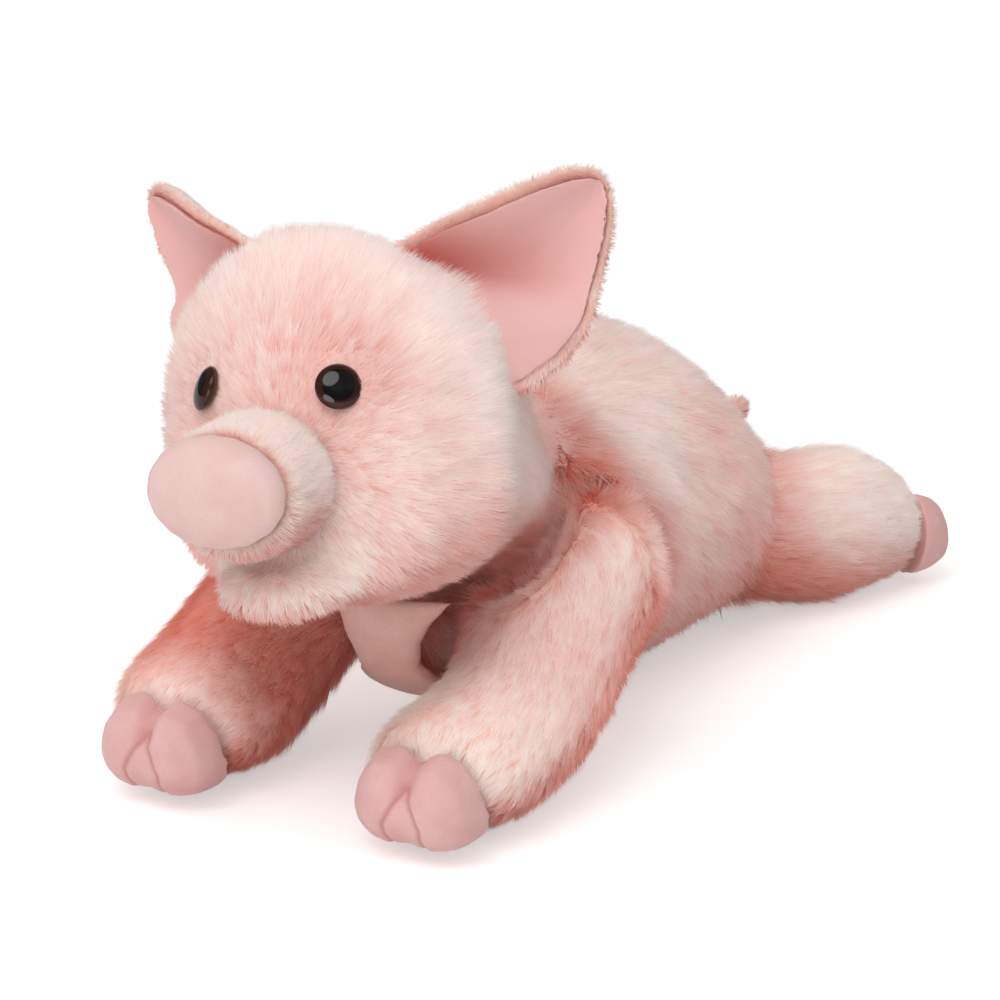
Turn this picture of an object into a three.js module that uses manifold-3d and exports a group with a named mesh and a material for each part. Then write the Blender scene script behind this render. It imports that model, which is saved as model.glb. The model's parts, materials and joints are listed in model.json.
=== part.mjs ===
// A stuffed toy pig that lies on its belly with its head up, its forelegs
// forward and its hind legs stretched out behind. It faces -Y, its left side
// is +X and the belly rests on z = 0. Lengths are millimetres.

import * as THREE from 'three';
import Module from 'manifold-3d';
import { ConvexGeometry } from 'three/addons/geometries/ConvexGeometry.js';
import { mergeVertices } from 'three/addons/utils/BufferGeometryUtils.js';

const wasm = await Module();
wasm.setup();

// Fabric and fit, shared by every piece
const COVER = 5; // sewn cover with the pile that stands on it
const GAP = 0.3; // clearance between pieces that touch
const REST_DIP = 0.5; // how deep the floor presses the stuffing flat
const SWEEP_CLEARANCE = 0.6; // room round a head or limb that turns
const STUFFING_CLEARANCE = 3.5; // the same, where only loose fibre lies
const OVERRUN = 4; // how far a cutting shape reaches past what it cuts

// Torso, measured from the chest to the rump
const TORSO_LENGTH = 225;
const TORSO_WIDTH = 128;
const TORSO_HEIGHT = 129;
const TORSO_FRONT = 118; // chest ahead of the belly's rest point
const CHEST_PANEL_WIDTH = 84;
const CHEST_PANEL_LENGTH = 74; // back from the front of the chest
const CHEST_PANEL_RISE = 78; // up from the floor

// Head, measured forward from the pivot of the neck
const NECK_FORWARD = 84;
const NECK_RISE = 92;
const NECK_ASIDE = 3.5; // the head lies a little to the toy's left
const NECK_RADIUS = 36;
const HEAD_LENGTH = 105;
const HEAD_WIDTH = 130;
const HEAD_HEIGHT = 123;
const HEAD_TILT = THREE.MathUtils.degToRad(8.5); // left side held higher
const NECK_TURN = THREE.MathUtils.degToRad(18);

// Muzzle, snout and chin on the front of the head
const MUZZLE_LENGTH = 38;
const MUZZLE_PROUD = 27; // past the front of the head
const MUZZLE_WIDTH = 54;
const MUZZLE_HEIGHT = 46;
const SNOUT_RISE = 30; // centre of the snout above the neck pivot
const SNOUT_WIDTH = 48;
const SNOUT_HEIGHT = 35;
const SNOUT_DEPTH = 16;
const SNOUT_PROUD = 8; // past the end of the muzzle
const CHIN_WIDTH = 50;
const CHIN_HEIGHT = 26;
const CHIN_LENGTH = 32;
const CHIN_DROP = 36; // middle of the chin below the snout's
const CHIN_PROUD = 17; // past the front of the head

// Safety eyes with their locking washers
const EYE_DIAMETER = 14;
const EYE_SPACING = 50;
const EYE_RISE = 52; // above the neck pivot
const EYE_SETBACK = 9; // behind the front of the head
const EYE_CROWN = 4; // height of the dome
const EYE_LOOK = THREE.MathUtils.degToRad(42); // turned outward from the nose
const EYE_LIFT = THREE.MathUtils.degToRad(14); // turned upward
const SHANK_DIAMETER = 5;
const SHANK_LENGTH = 15;
const WASHER_DIAMETER = 15;
const WASHER_THICKNESS = 1.6;
const WASHER_INSET = 1.2; // below the inside of the cover

// Ears, each flat pattern measured along its base seam and out to its tip
const EAR_BASE = 53;
const EAR_LENGTH = 62;
const EAR_THICKNESS = 5;
const LINING_THICKNESS = 2;
const LINING_GAP = 0.5; // under the lining, which follows the hollow more loosely
const EAR_HEM = 3; // plush that shows round the lining
const EAR_CUP = 9; // depth of the hollow in front
const EAR_SPACING = 58; // between the two upper corners
const EAR_FORWARD = 62; // upper corner ahead of the neck pivot
const EAR_RISE = 83; // upper corner above the neck pivot
const EAR_FOLD = 5; // the line it folds on, out from the base seam
const EAR_FACING = THREE.MathUtils.degToRad(34); // turned outward
const EAR_SLANT = THREE.MathUtils.degToRad(54); // base seam below level
const EAR_BACK = THREE.MathUtils.degToRad(20); // folds back this far
const EAR_FRONT = THREE.MathUtils.degToRad(20); // and forward this far

// Forelegs, measured from the pivot of the shoulder
const SHOULDER_SPACING = 88;
const SHOULDER_FORWARD = 72;
const SHOULDER_RISE = 60;
const SHOULDER_RADIUS = 31;
const FORELEG_LENGTH = 100;
const FORELEG_WIDTH = 69;
const FORELEG_HEIGHT = 78;
const SHOULDER_INWARD = THREE.MathUtils.degToRad(3);
const SHOULDER_OUTWARD = THREE.MathUtils.degToRad(32);

// Hind legs, measured from the pivot of the hip
const HIP_SPACING = 74;
const HIP_BEHIND = 70;
const HIP_RISE = 34;
const HIP_RADIUS = 28;
const HINDLEG_LENGTH = 75;
const HINDLEG_WIDTH = 58;
const HINDLEG_HEIGHT = 60;
const HIP_INWARD = THREE.MathUtils.degToRad(18);
const HIP_OUTWARD = THREE.MathUtils.degToRad(32);

const LEG_MOUTH_RADIUS = 13; // of the hole that each leg is stuffed and sewn through

// How far each leg is splayed at rest, outward from straight ahead or behind
const restSplay = {
  front_left: THREE.MathUtils.degToRad(-1),
  front_right: THREE.MathUtils.degToRad(4),
  rear_left: THREE.MathUtils.degToRad(26),
  rear_right: THREE.MathUtils.degToRad(26),
};

// Cloven hooves: two velour toes on the end of each leg
const FORE_HOOF_WIDTH = 45;
const FORE_HOOF_HEIGHT = 34;
const FORE_HOOF_LENGTH = 34;
const FORE_HOOF_PROUD = 14; // past the end of the plush
const FORE_HOOF_LIFT = 3; // off the floor
const HIND_HOOF_WIDTH = 38;
const HIND_HOOF_HEIGHT = 32;
const HIND_HOOF_LENGTH = 30;
const HIND_HOOF_PROUD = 14;
const HIND_HOOF_LIFT = 4;
const TOE_SQUEEZE_SHARE = 0.28; // of a toe's width that the other toe presses flat

// Curled tail
const TAIL_DIAMETER = 10;
const TAIL_CURL = 24; // across the curl
const TAIL_LENGTH = 24; // back from its pivot
const TAIL_LIFT = 8; // rise of the curl over that length
const TAIL_TURNS = 1.2;
const TAIL_OPENING_SHARE = 0.33; // of the curl, where it reaches its full width
const TAIL_ROOT_RADIUS = 7;
const TAIL_RISE = 46;
const TAIL_BEHIND = 104;
const TAIL_WAG = THREE.MathUtils.degToRad(25);

// Rows of a stuffed form: place along it, half width, bottom, widest height and
// top, as shares of its length, width and height
const torsoShares = [
  [0.12, 0.33, 0.14, 0.48, 0.88],
  [0.27, 0.43, 0.04, 0.46, 0.975],
  [0.47, 0.48, 0, 0.44, 1],
  [0.67, 0.492, 0, 0.4, 0.91],
  [0.83, 0.42, 0, 0.34, 0.65],
  [0.92, 0.32, 0, 0.29, 0.46],
];
const headShares = [
  [0.19, 0.35, -0.22, 0.09, 0.55],
  [0.43, 0.41, -0.22, 0.13, 0.72],
  [0.67, 0.465, -0.2, 0.14, 0.765],
  [0.86, 0.37, -0.17, 0.13, 0.59],
];
const forelegShares = [
  [0.3, 0.48, 0.14, 0.52, 0.98],
  [0.6, 0.48, 0, 0.35, 0.72],
  [0.85, 0.46, 0, 0.3, 0.62],
];
const hindlegShares = [
  [0.3, 0.52, 0, 0.47, 1],
  [0.6, 0.5, 0, 0.45, 0.97],
  [0.86, 0.41, 0, 0.42, 0.82],
];
const muzzleShares = [
  [0.35, 0.47, -0.56, -0.05, 0.43],
  [0.8, 0.44, -0.52, -0.04, 0.4],
];
const snoutShares = [
  [0.4, 0.5, -0.5, 0, 0.5],
  [0.55, 0.49, -0.49, 0, 0.49],
];
const chinShares = [
  [0.4, 0.5, 0, 0.45, 1],
  [0.6, 0.48, 0, 0.45, 1],
];
const toeShares = [
  [0.3, 0.5, 0, 0.4, 1],
  [0.62, 0.47, 0.02, 0.38, 0.93],
];

// The edges of an ear, as shares of its base and its length
const earUpperShares = [[0, -0.15], [-0.02, 0.14], [0.1, 0.46], [0.26, 0.82], [0.37, 0.96], [0.47, 1]];
const earLowerShares = [[0.98, -0.15], [1.1, 0.14], [1.06, 0.42], [0.88, 0.7], [0.66, 0.93], [0.51, 1]];
const EAR_REACH_SHARE = 1;
const EAR_LINING_SHARE = 0.95;
const EAR_EDGE_SHARE = 0.45;

// How finely each kind of form is divided
const LARGE = { sides: 24, steps: 9, capSteps: 4 };
const LARGE_INSIDE = { sides: 16, steps: 6, capSteps: 3 };
const LIMB = { sides: 16, steps: 5, capSteps: 4 };
const LIMB_INSIDE = { sides: 10, steps: 4, capSteps: 3 };
const SMALL = { sides: 12, steps: 2, capSteps: 3 };
const COVER_ROOM = { head: LARGE, leg: LIMB, clearance: SWEEP_CLEARANCE, turns: 2 };
const STUFFING_ROOM = { head: LIMB_INSIDE, leg: LIMB_INSIDE, clearance: STUFFING_CLEARANCE, turns: 2 };
const LEG_STEPS = 4;
const EYE_SIDES = 16;
const EYE_RINGS = 4;
const EAR_ACROSS = 6;
const EAR_ALONG = 7;
const EAR_STEPS = 4;
const TAIL_SIDES = 6;
const TAIL_STEPS = 16;
const PANEL_SEGMENTS = 10;

// A solid for joining and cutting, from a closed geometry
function solidOf(geometry) {
  const bare = geometry.index ? geometry.clone() : geometry;
  bare.deleteAttribute('normal');
  bare.deleteAttribute('uv');
  const merged = mergeVertices(bare, 1e-4);
  return new wasm.Manifold(new wasm.Mesh({
    numProp: 3,
    vertProperties: Float32Array.from(merged.attributes.position.array),
    triVerts: Uint32Array.from(merged.index.array),
  }));
}

// The named piece of the toy that a solid makes
function piece(name, solid, material) {
  const { vertProperties, triVerts } = solid.getMesh();
  const geometry = new THREE.BufferGeometry();
  geometry.setAttribute('position', new THREE.BufferAttribute(vertProperties, 3));
  geometry.setIndex(new THREE.BufferAttribute(triVerts, 1));
  const flat = geometry.toNonIndexed();
  flat.computeVertexNormals();
  const mesh = new THREE.Mesh(flat, material);
  mesh.name = name;
  return mesh;
}

function placed(solid, matrix) {
  return solid.transform(matrix.elements);
}

function aboutZ(angle) {
  return new THREE.Matrix4().makeRotationZ(angle);
}

// A form from its table of shares. The domes on its ends take up the length
// that the rows leave there. A ball, where there is one, is the round root of a
// head or limb, centred on its pivot.
function formOf(shares, { length, width, height, start = 0, base = 0, heading = 1, ball = null }) {
  const rows = shares.map(([along, half, bottom, widest, top]) => ({
    along: start + along * length,
    half: half * width,
    bottom: base + bottom * height,
    widest: base + widest * height,
    top: base + top * height,
  }));
  const tipDepth = start + length - rows[rows.length - 1].along;
  if (!ball) return { rows, rootDepth: rows[0].along - start, tipDepth, heading };
  const { radius, rise } = ball;
  rows.unshift({ along: 0, half: radius, bottom: rise - radius, widest: rise, top: rise + radius });
  return { rows, rootDepth: radius, tipDepth, heading };
}

// A closed form that swells and tapers along Y: ovals joined by smooth curves
// through its rows, with a dome on each end. Grow makes it larger all round.
function stuffedForm({ rows, rootDepth, tipDepth, heading = 1 }, { sides, steps, capSteps }, grow = 0) {
  const curve = (points) => new THREE.CatmullRomCurve3(points, false, 'catmullrom');
  const plan = curve(rows.map((row) => new THREE.Vector3(row.along, row.half, row.widest)));
  const profile = curve(rows.map((row) => new THREE.Vector3(row.along, row.bottom, row.top)));
  const rings = [];
  const addRing = (share, shift, size) => {
    const { x: along, y: half, z: widest } = plan.getPoint(share);
    const { y: bottom, z: top } = profile.getPoint(share);
    rings.push({
      along: along + shift,
      half: (half + grow) * size,
      drop: (widest - bottom + grow) * size,
      rise: (top - widest + grow) * size,
      widest,
    });
  };
  const capTurn = (index) => (Math.PI / 2) * (index / capSteps);
  for (let i = 1; i <= capSteps; i += 1) {
    addRing(0, -(rootDepth + grow) * Math.cos(capTurn(i)), Math.sin(capTurn(i)));
  }
  for (let i = 1; i < steps; i += 1) addRing(i / steps, 0, 1);
  for (let i = capSteps; i >= 1; i -= 1) {
    addRing(1, (tipDepth + grow) * Math.cos(capTurn(i)), Math.sin(capTurn(i)));
  }

  const points = [];
  for (const ring of rings) {
    for (let k = 0; k < sides; k += 1) {
      const turn = (2 * Math.PI * k) / sides;
      const tall = Math.sin(turn) > 0 ? ring.rise : ring.drop;
      points.push(ring.half * Math.cos(turn), heading * ring.along, ring.widest + tall * Math.sin(turn));
    }
  }
  const first = rows[0];
  const last = rows[rows.length - 1];
  const rootPole = points.length / 3;
  const tipPole = rootPole + 1;
  points.push(0, heading * (first.along - rootDepth - grow), first.widest);
  points.push(0, heading * (last.along + tipDepth + grow), last.widest);

  const faces = [];
  const addFace = (a, b, c) => faces.push(...(heading > 0 ? [a, b, c] : [a, c, b]));
  for (let k = 0; k < sides; k += 1) {
    const next = (k + 1) % sides;
    const lastRing = (rings.length - 1) * sides;
    addFace(rootPole, k, next);
    addFace(tipPole, lastRing + next, lastRing + k);
    for (let ring = 0; ring < lastRing; ring += sides) {
      addFace(ring + k, ring + sides + k, ring + sides + next);
      addFace(ring + k, ring + sides + next, ring + next);
    }
  }
  const geometry = new THREE.BufferGeometry();
  geometry.setAttribute('position', new THREE.Float32BufferAttribute(points, 3));
  geometry.setIndex(faces);
  return solidOf(geometry);
}

// The space that a rounded solid passes through as it turns about the upright
// line through its group's place: the hull of the solid at a few angles
function sweptSpace(solid, group, [from, to], turns) {
  const corners = solid.getMesh().vertProperties;
  const still = new THREE.Matrix4().extractRotation(group.matrix);
  const points = [];
  for (let i = 0; i <= turns; i += 1) {
    const place = aboutZ(THREE.MathUtils.lerp(from, to, i / turns)).multiply(still);
    place.setPosition(group.position);
    for (let k = 0; k < corners.length; k += 3) {
      points.push(new THREE.Vector3().fromArray(corners, k).applyMatrix4(place));
    }
  }
  return solidOf(new ConvexGeometry(points));
}

// A form pressed flat where it rests on the floor
function pressedFlat(solid) {
  return solid.trimByPlane([0, 0, 1], 0);
}

// A solid turned from a profile of radii and heights, stood on a line of sight
function turned(profile, sides, stance) {
  const outline = profile.map(([radius, height]) => new THREE.Vector2(radius, height));
  return solidOf(new THREE.LatheGeometry(outline, sides).applyMatrix4(stance));
}

// A round rod between two heights on the same kind of line
function rod(radius, from, to, stance) {
  return turned([[0, from], [radius, from], [radius, to], [0, to]], EYE_SIDES, stance);
}

function colouredCloth(name, colour, roughness) {
  return new THREE.MeshStandardMaterial({ name, color: colour, roughness, metalness: 0 });
}

const plush = colouredCloth('long pile plush', 0xf1d3c8, 0.95);
const velour = colouredCloth('pink velour', 0xeebfbd, 0.85);
const lining = colouredCloth('ear velour', 0xe9a5a2, 0.85);
const fibre = colouredCloth('polyester fibre', 0xf5f3ee, 1);
const eyePlastic = new THREE.MeshStandardMaterial({
  name: 'eye plastic', color: 0x1d0f0a, roughness: 0.08, metalness: 0,
});
const washerPlastic = new THREE.MeshStandardMaterial({
  name: 'washer plastic', color: 0xe8e6df, roughness: 0.5, metalness: 0,
});

// Head. It is modelled on the pivot of the neck, level and facing -Y.

const headForm = formOf(headShares, {
  length: HEAD_LENGTH,
  width: HEAD_WIDTH,
  height: HEAD_HEIGHT,
  heading: -1,
  ball: { radius: NECK_RADIUS, rise: 0 },
});
const headOuter = stuffedForm(headForm, LARGE);
const headClear = stuffedForm(headForm, LARGE, GAP);

const headGroup = new THREE.Group();
headGroup.position.set(NECK_ASIDE, -NECK_FORWARD, NECK_RISE);
headGroup.rotation.y = -HEAD_TILT;
headGroup.updateMatrix();

// The space in the torso and the forelegs that the head needs to turn
function headRoom({ head, clearance, turns }) {
  return sweptSpace(stuffedForm(headForm, head, clearance), headGroup, [-NECK_TURN, NECK_TURN], turns);
}

// Legs. Each one is modelled on its own pivot, at floor level.

const legKinds = {
  front: {
    form: formOf(forelegShares, {
      length: FORELEG_LENGTH,
      width: FORELEG_WIDTH,
      height: FORELEG_HEIGHT,
      base: -REST_DIP,
      heading: -1,
      ball: { radius: SHOULDER_RADIUS, rise: SHOULDER_RISE },
    }),
    place: [SHOULDER_SPACING / 2, -SHOULDER_FORWARD],
    length: FORELEG_LENGTH,
    hoof: {
      width: FORE_HOOF_WIDTH,
      height: FORE_HOOF_HEIGHT,
      length: FORE_HOOF_LENGTH,
      proud: FORE_HOOF_PROUD,
      lift: FORE_HOOF_LIFT,
    },
    inward: SHOULDER_INWARD,
    outward: SHOULDER_OUTWARD,
  },
  rear: {
    form: formOf(hindlegShares, {
      length: HINDLEG_LENGTH,
      width: HINDLEG_WIDTH,
      height: HINDLEG_HEIGHT,
      base: -REST_DIP,
      heading: 1,
      ball: { radius: HIP_RADIUS, rise: HIP_RISE },
    }),
    place: [HIP_SPACING / 2, HIP_BEHIND],
    length: HINDLEG_LENGTH,
    hoof: {
      width: HIND_HOOF_WIDTH,
      height: HIND_HOOF_HEIGHT,
      length: HIND_HOOF_LENGTH,
      proud: HIND_HOOF_PROUD,
      lift: HIND_HOOF_LIFT,
    },
    inward: HIP_INWARD,
    outward: HIP_OUTWARD,
  },
};

// The two toes of a hoof, pressed against each other and seated on the leg's end
function hoofToes({ form, length, hoof }) {
  const half = hoof.width / 2;
  const width = half / (1 - TOE_SQUEEZE_SHARE);
  const toeForm = formOf(toeShares, {
    length: hoof.length,
    width,
    height: hoof.height,
    start: length + hoof.proud - hoof.length,
    base: hoof.lift - REST_DIP,
    heading: form.heading,
  });
  const seat = stuffedForm(form, LIMB, GAP);
  return [1, -1].map((side) => {
    const toe = pressedFlat(stuffedForm(toeForm, SMALL).translate([side * (half - width / 2), 0, 0]));
    return toe.trimByPlane([side, 0, 0], GAP / 2).subtract(seat);
  });
}

// How far a leg turns about the upright line through its pivot
function legTurns({ kind, outward }) {
  const sign = -outward * kind.form.heading;
  return [-kind.inward * sign, kind.outward * sign];
}

// A leg cut back where the head presses on it, whichever way the two are turned
function clearOfHead(solid, leg, room) {
  const { group } = leg;
  const [from, to] = legTurns(leg);
  const space = headRoom(room);
  let left = solid;
  for (let i = 0; i <= LEG_STEPS; i += 1) {
    const turn = aboutZ(THREE.MathUtils.lerp(from, to, i / LEG_STEPS)).multiply(
      new THREE.Matrix4().extractRotation(group.matrix),
    );
    left = left.subtract(placed(space, turn.setPosition(group.position).invert()));
  }
  return left;
}

// A leg: its cover has a mouth on the inner side of its root, where it is sewn
// to the torso, and the stuffing fills it
function buildLeg(end, side) {
  const kind = legKinds[end];
  const { form } = kind;
  const outward = side === 'left' ? 1 : -1;
  const group = new THREE.Group();
  group.position.set(outward * kind.place[0], kind.place[1], 0);
  group.rotation.z = -outward * form.heading * restSplay[`${end}_${side}`];
  group.updateMatrix();
  const leg = { group, kind, outward };

  const inside = stuffedForm(form, LIMB_INSIDE, -COVER).trimByPlane([0, 0, 1], COVER);
  const mouth = new THREE.CylinderGeometry(LEG_MOUTH_RADIUS, LEG_MOUTH_RADIUS, form.rootDepth, LIMB.sides);
  mouth.rotateZ(Math.PI / 2).translate(-outward * form.rootDepth, 0, form.rows[0].widest);
  let cover = pressedFlat(stuffedForm(form, LIMB)).subtract(inside).subtract(solidOf(mouth));
  let filling = stuffedForm(form, LIMB_INSIDE, -COVER - GAP).trimByPlane([0, 0, 1], COVER + GAP);
  if (end === 'front') {
    cover = clearOfHead(cover, leg, COVER_ROOM);
    filling = clearOfHead(filling, leg, STUFFING_ROOM);
  }
  const [leftToe, rightToe] = hoofToes(kind);
  const name = `${end}_${side}`;
  group.add(piece(`${name}_leg_plush`, cover, plush));
  group.add(piece(`${name}_leg_stuffing`, filling, fibre));
  group.add(piece(`${name}_hoof_outer_toe`, side === 'left' ? leftToe : rightToe, velour));
  group.add(piece(`${name}_hoof_inner_toe`, side === 'left' ? rightToe : leftToe, velour));
  return leg;
}

const legs = [];
for (const end of ['front', 'rear']) {
  for (const side of ['left', 'right']) legs.push(buildLeg(end, side));
}

// The space in the torso that a leg needs between its limits
function legRoom(leg, room) {
  const { group, kind } = leg;
  return sweptSpace(stuffedForm(kind.form, room.leg, room.clearance), group, legTurns(leg), room.turns);
}

// The muzzle, the snout pad on its end and the chin below it, each seated on the
// larger one behind it
function buildFace() {
  const muzzleStart = HEAD_LENGTH + MUZZLE_PROUD - MUZZLE_LENGTH;
  const muzzleForm = formOf(muzzleShares, {
    length: MUZZLE_LENGTH,
    width: MUZZLE_WIDTH,
    height: MUZZLE_HEIGHT,
    start: muzzleStart,
    base: SNOUT_RISE,
    heading: -1,
  });
  const snoutForm = formOf(snoutShares, {
    length: SNOUT_DEPTH,
    width: SNOUT_WIDTH,
    height: SNOUT_HEIGHT,
    start: HEAD_LENGTH + MUZZLE_PROUD + SNOUT_PROUD - SNOUT_DEPTH,
    base: SNOUT_RISE,
    heading: -1,
  });
  const chinForm = formOf(chinShares, {
    length: CHIN_LENGTH,
    width: CHIN_WIDTH,
    height: CHIN_HEIGHT,
    start: HEAD_LENGTH + CHIN_PROUD - CHIN_LENGTH,
    base: SNOUT_RISE - CHIN_DROP - CHIN_HEIGHT / 2,
    heading: -1,
  });
  const snoutClear = stuffedForm(snoutForm, LIMB, GAP);
  const muzzleClear = stuffedForm(muzzleForm, LIMB, GAP);
  const muzzle = stuffedForm(muzzleForm, LIMB).subtract(headClear).subtract(snoutClear);
  const snout = stuffedForm(snoutForm, LIMB).subtract(headClear);
  const chin = stuffedForm(chinForm, LIMB).subtract(headClear).subtract(muzzleClear);
  headGroup.add(piece('muzzle_plush', muzzle, plush));
  headGroup.add(piece('snout_pad', snout, velour));
  headGroup.add(piece('chin_plush', chin, plush));
}

// A safety eye: a domed button whose shank goes through the cover and is locked
// by a washer inside it. The eye sits where its line of sight leaves the head.
function buildEye(side) {
  const outward = side === 'left' ? 1 : -1;
  const sight = new THREE.Vector3(
    outward * Math.sin(EYE_LOOK) * Math.cos(EYE_LIFT),
    -Math.cos(EYE_LOOK) * Math.cos(EYE_LIFT),
    Math.sin(EYE_LIFT),
  );
  const near = new THREE.Vector3((outward * EYE_SPACING) / 2, EYE_SETBACK - HEAD_LENGTH, EYE_RISE);
  const far = near.clone().addScaledVector(sight, HEAD_LENGTH);
  const target = piece('surface', headOuter, plush);
  const [hit] = new THREE.Raycaster(far, sight.clone().negate()).intersectObject(target);
  const stance = new THREE.Matrix4().makeRotationFromQuaternion(
    new THREE.Quaternion().setFromUnitVectors(new THREE.Vector3(0, 1, 0), sight),
  ).setPosition(hit.point);

  const radius = EYE_DIAMETER / 2;
  const profile = [[0, -radius], [radius, -radius], [radius, 0]];
  for (let i = 1; i <= EYE_RINGS; i += 1) {
    const turn = (Math.PI / 2) * (i / EYE_RINGS);
    profile.push([radius * Math.cos(turn), EYE_CROWN * Math.sin(turn)]);
  }
  profile[profile.length - 1][0] = 0;
  const button = turned(profile, EYE_SIDES, stance);
  const shankRadius = SHANK_DIAMETER / 2;
  const shank = rod(shankRadius, -SHANK_LENGTH, EYE_CROWN / 2, stance);
  const eye = button.subtract(headClear).add(shank);
  const hole = rod(shankRadius + GAP, -SHANK_LENGTH - GAP, EYE_CROWN, stance);

  const washerTop = -COVER - WASHER_INSET;
  const washerFloor = washerTop - WASHER_THICKNESS;
  const washerRadius = WASHER_DIAMETER / 2;
  const washer = rod(washerRadius, washerFloor, washerTop, stance)
    .subtract(rod(shankRadius + GAP, washerFloor - OVERRUN, washerTop + OVERRUN, stance));
  const pocket = rod(washerRadius + GAP, washerFloor - GAP, washerTop + GAP, stance);
  headGroup.add(piece(`eye_${side}`, eye, eyePlastic));
  headGroup.add(piece(`eye_washer_${side}`, washer, washerPlastic));
  return { hole, pocket };
}

// The surface of an ear between its two edges, which run from the base seam to
// the tip. Along is the share from base to tip and across the share from the
// upper edge to the lower one.
function earSurface(hem) {
  const curve = (shares) => new THREE.CatmullRomCurve3(
    shares.map(([base, out]) => new THREE.Vector3(base * EAR_BASE, out * EAR_LENGTH, 0)),
  );
  const upper = curve(earUpperShares);
  const lower = curve(earLowerShares);
  return (across, along) => {
    const from = upper.getPoint(along);
    const to = lower.getPoint(along);
    const inset = Math.min(hem / from.distanceTo(to), 0.45);
    const point = from.clone().lerp(to, THREE.MathUtils.lerp(inset, 1 - inset, across));
    const hollow = Math.sin(Math.PI * across) * Math.sin(Math.PI * along);
    return point.setZ(-EAR_CUP * hollow);
  };
}

// A sheet over the ear's surface. Near is the height above it of the face that
// lies on the ear's other sheet. Far is the height of its outer face, which is
// lower at the edges.
function earSheet(hem, reach, near, far) {
  const surface = earSurface(hem);
  const points = [];
  const layerSize = (EAR_ACROSS + 1) * (EAR_ALONG + 1);
  for (const height of [Math.max(near, far), Math.min(near, far)]) {
    for (let j = 0; j <= EAR_ALONG; j += 1) {
      for (let i = 0; i <= EAR_ACROSS; i += 1) {
        const across = i / EAR_ACROSS;
        const point = surface(across, (j / EAR_ALONG) * reach);
        const edge = i === 0 || i === EAR_ACROSS || j === EAR_ALONG;
        const level = edge && height === far ? far * EAR_EDGE_SHARE : height;
        points.push(point.x, point.y, point.z + level);
      }
    }
  }
  const faces = [];
  const at = (i, j, layer) => layer * layerSize + j * (EAR_ACROSS + 1) + i;
  const addQuad = (a, b, c, d) => faces.push(a, b, c, a, c, d);
  for (let j = 0; j < EAR_ALONG; j += 1) {
    for (let i = 0; i < EAR_ACROSS; i += 1) {
      addQuad(at(i, j, 0), at(i + 1, j, 0), at(i + 1, j + 1, 0), at(i, j + 1, 0));
      addQuad(at(i, j, 1), at(i, j + 1, 1), at(i + 1, j + 1, 1), at(i + 1, j, 1));
    }
    addQuad(at(0, j, 0), at(0, j + 1, 0), at(0, j + 1, 1), at(0, j, 1));
    addQuad(at(EAR_ACROSS, j, 1), at(EAR_ACROSS, j + 1, 1), at(EAR_ACROSS, j + 1, 0), at(EAR_ACROSS, j, 0));
  }
  for (let i = 0; i < EAR_ACROSS; i += 1) {
    addQuad(at(i, 0, 1), at(i + 1, 0, 1), at(i + 1, 0, 0), at(i, 0, 0));
    addQuad(at(i, EAR_ALONG, 0), at(i + 1, EAR_ALONG, 0), at(i + 1, EAR_ALONG, 1), at(i, EAR_ALONG, 1));
  }
  const geometry = new THREE.BufferGeometry();
  geometry.setAttribute('position', new THREE.Float32BufferAttribute(points, 3));
  geometry.setIndex(faces);
  return solidOf(geometry);
}

// An ear: a plush back and a velour lining, sewn to the head along a straight
// base seam on which it folds. Its root is cut to the head at each angle.
function buildEar(side) {
  const outward = side === 'left' ? 1 : -1;
  const level = new THREE.Vector3(Math.cos(EAR_FACING), Math.sin(EAR_FACING), 0);
  const upright = new THREE.Vector3(0, 0, 1);
  const seam = level.clone().multiplyScalar(Math.cos(EAR_SLANT)).addScaledVector(upright, -Math.sin(EAR_SLANT));
  const out = level.clone().multiplyScalar(Math.sin(EAR_SLANT)).addScaledVector(upright, Math.cos(EAR_SLANT));
  const stance = new THREE.Matrix4().makeBasis(seam, out, new THREE.Vector3().crossVectors(seam, out));
  stance.setPosition(EAR_SPACING / 2, -EAR_FORWARD, EAR_RISE);
  const toHead = new THREE.Matrix4().makeScale(outward, 1, 1).multiply(stance);
  const toEar = toHead.clone().invert();
  const headOnEar = placed(headClear, toEar);
  const aboutSeam = (angle) => new THREE.Matrix4().makeTranslation(0, EAR_FOLD, 0)
    .multiply(new THREE.Matrix4().makeRotationX(angle))
    .multiply(new THREE.Matrix4().makeTranslation(0, -EAR_FOLD, 0));
  let headSweep = headOnEar;
  for (let i = 0; i <= EAR_STEPS; i += 1) {
    const turn = THREE.MathUtils.lerp(-EAR_FRONT, EAR_BACK, i / EAR_STEPS);
    headSweep = headSweep.add(placed(headOnEar, aboutSeam(turn)));
  }
  const back = earSheet(0, EAR_REACH_SHARE, 0, -EAR_THICKNESS).subtract(headSweep);
  const front = earSheet(EAR_HEM, EAR_LINING_SHARE, LINING_GAP, LINING_GAP + LINING_THICKNESS).subtract(headSweep);
  headGroup.add(piece(`ear_${side}_plush`, placed(back, toHead), plush));
  headGroup.add(piece(`ear_${side}_lining`, placed(front, toHead), lining));
}

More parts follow.
